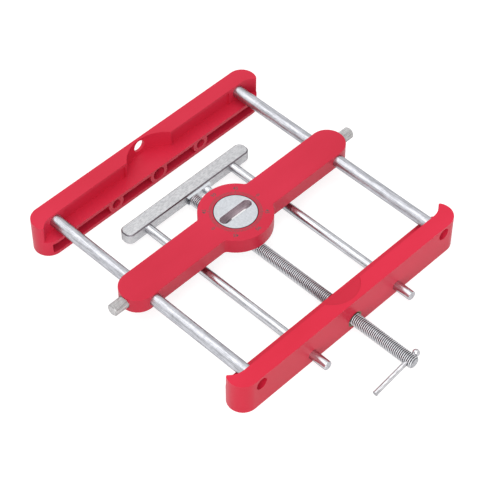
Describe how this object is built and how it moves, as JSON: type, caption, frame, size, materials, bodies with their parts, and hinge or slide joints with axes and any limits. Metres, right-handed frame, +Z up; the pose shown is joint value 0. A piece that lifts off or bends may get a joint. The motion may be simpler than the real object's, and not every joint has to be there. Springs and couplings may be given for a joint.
{
  "type": "mortise and tenon jig",
  "caption": "Mortise and tenon jig: two moulded jaws on steel rails, a sliding guide plate with a slotted turning disc, and a screw-driven clamp bar that holds the work.",
  "frame": {"origin": "middle of the bounding box in X and Y, at the height of the jaws' flat undersides", "axes": "+X along the jaws, +Y from the front jaw with the screw handle to the rear jaw, +Z up"},
  "size_m": [0.203, 0.231, 0.024],
  "materials": {
    "red_plastic": "satin moulded plastic, warm red",
    "plated_steel": "bright plated steel",
    "polished_steel": "ground steel with softened edges",
    "screw_steel": "plain steel with a rolled thread",
    "disc_alloy": "pale matt aluminium",
    "brass": "turned brass"
  },
  "bodies": {
    "jaw_frame": {"front_jaw": "red_plastic", "rear_jaw": "red_plastic", "left_rail": "plated_steel", "right_rail": "plated_steel", "rail_pins": "plated_steel", "lead_nut": "brass"},
    "guide": {"guide_plate": "red_plastic", "disc_ring": "disc_alloy", "ring_screws": "plated_steel", "left_insert": "brass", "right_insert": "brass"},
    "disc": {"slot_disc": "disc_alloy"},
    "left_lock": {"left_knob": "plated_steel"},
    "right_lock": {"right_knob": "plated_steel"},
    "clamp": {"clamp_bar": "polished_steel", "left_guide_rod": "plated_steel", "right_guide_rod": "plated_steel", "rod_pins": "plated_steel", "keeper": "plated_steel", "keeper_screw": "plated_steel", "thrust_washer": "plated_steel"},
    "screw": {"lead_screw": "screw_steel"},
    "tommy": {"tommy_bar": "plated_steel"}
  },
  "joints": [
    {"name": "plate_slide", "type": "slide", "parent": "jaw_frame", "child": "guide", "axis": [0, 1, 0], "range_m": [-0.063, 0.0615]},
    {"name": "disc_turn", "type": "hinge", "parent": "guide", "child": "disc", "pos_m": [0, 0.0285, 0.0215], "axis": [0, 0, 1], "continuous": true},
    {"name": "left_lock_turn", "type": "hinge", "parent": "guide", "child": "left_lock", "pos_m": [-0.095, 0.0285, 0.0185], "axis": [1, 0, 0], "range_deg": [-360, 150]},
    {"name": "right_lock_turn", "type": "hinge", "parent": "guide", "child": "right_lock", "pos_m": [0.095, 0.0285, 0.0185], "axis": [-1, 0, 0], "range_deg": [-360, 150]},
    {"name": "clamp_slide", "type": "slide", "parent": "jaw_frame", "child": "clamp", "axis": [0, 1, 0], "range_m": [-0.11, 0.01875]},
    {"name": "screw_turn", "type": "hinge", "parent": "clamp", "child": "screw", "pos_m": [0, 0, 0.007], "axis": [0, 1, 0], "range_deg": [-31690, 5410]},
    {"name": "tommy_slide", "type": "slide", "parent": "screw", "child": "tommy", "axis": [0.9848, 0, 0.1736], "range_m": [0, 0.0244]}
  ],
  "couplings": [
    {"joint": "screw_turn", "follows": "clamp_slide", "rad_per_m": 5026.5}
  ]
}
